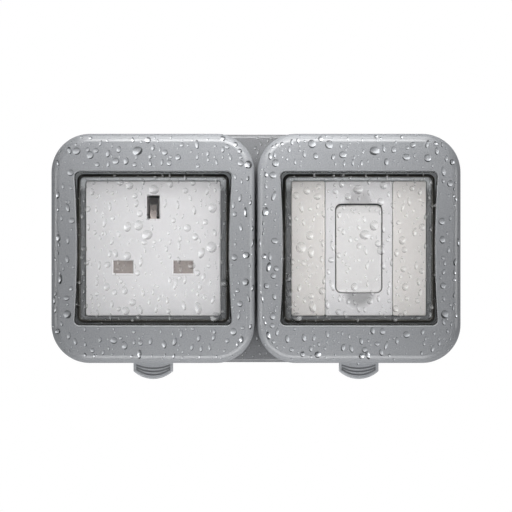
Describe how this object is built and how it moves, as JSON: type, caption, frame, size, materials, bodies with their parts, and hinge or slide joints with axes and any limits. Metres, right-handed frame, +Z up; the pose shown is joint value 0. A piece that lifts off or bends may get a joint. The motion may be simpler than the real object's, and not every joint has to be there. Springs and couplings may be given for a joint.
{
  "type": "outdoor weatherproof socket",
  "caption": "Surface-mounted weatherproof wall unit: three-pin socket and rocker switch side by side, each under its own top-hinged lid with a clear window and finger tab",
  "frame": {"origin": "centre of the flat back face that lies on the wall", "axes": "+X to the viewer's right, +Y into the wall, +Z up; the front faces -Y"},
  "size_m": [0.151, 0.0545, 0.0906],
  "materials": {
    "grey_plastic": "fine-grained",
    "window_plastic": "clear, lightly smoked",
    "black_rubber": "matt",
    "white_plastic": "satin",
    "warm_white_plastic": "satin",
    "housing_plastic": "moulded",
    "shutter_plastic": "moulded",
    "brass": "rolled",
    "steel": "plain"
  },
  "bodies": {
    "base": {"back_box": "grey_plastic", "box_gasket": "black_rubber", "front_frame": "grey_plastic", "frame_screws": "steel", "left_lid_seal": "black_rubber", "right_lid_seal": "black_rubber", "left_hinge_pin": "steel", "right_hinge_pin": "steel", "socket_plate": "white_plastic", "socket_housing": "housing_plastic", "socket_screws": "steel", "shutter_spring": "steel", "live_contact": "brass", "neutral_contact": "brass", "earth_contact": "brass", "socket_terminals": "brass", "socket_terminal_screws": "steel", "switch_plate": "white_plastic", "switch_housing": "housing_plastic", "common_contact": "brass", "fixed_contacts": "brass", "switch_terminals": "brass", "switch_terminal_screws": "steel", "inner_blank": "warm_white_plastic", "outer_blank": "warm_white_plastic"},
    "left_lid": {"left_lid": "grey_plastic", "left_window": "window_plastic", "left_window_seal": "black_rubber"},
    "right_lid": {"right_lid": "grey_plastic", "right_window": "window_plastic", "right_window_seal": "black_rubber"},
    "rocker": {"rocker": "white_plastic", "rocker_plunger": "white_plastic", "rocker_spring": "steel"},
    "seesaw": {"moving_contact": "brass"},
    "shutter": {"shutter": "shutter_plastic"}
  },
  "joints": [
    {"name": "left_lid_hinge", "type": "hinge", "parent": "base", "child": "left_lid", "pos_m": [-0.038, -0.0388, 0.0402], "axis": [-1, 0, 0], "range_deg": [0, 105]},
    {"name": "right_lid_hinge", "type": "hinge", "parent": "base", "child": "right_lid", "pos_m": [0.038, -0.0388, 0.0402], "axis": [-1, 0, 0], "range_deg": [0, 105]},
    {"name": "rocker_pivot", "type": "hinge", "parent": "base", "child": "rocker", "pos_m": [0.038, -0.04, 0], "axis": [-1, 0, 0], "range_deg": [0, 8]},
    {"name": "seesaw_pivot", "type": "hinge", "parent": "base", "child": "seesaw", "pos_m": [0.038, -0.0286, 0], "axis": [-1, 0, 0], "range_deg": [-16, 0]},
    {"name": "shutter_slide", "type": "slide", "parent": "base", "child": "shutter", "axis": [0, 0, -1], "range_m": [0, 0.0052], "stiffness_N_per_m": 120, "springref_m": -0.003, "deforming": ["shutter_spring"]}
  ],
  "couplings": [
    {"joint": "seesaw_pivot", "follows": "rocker_pivot", "ratio": -2}
  ]
}
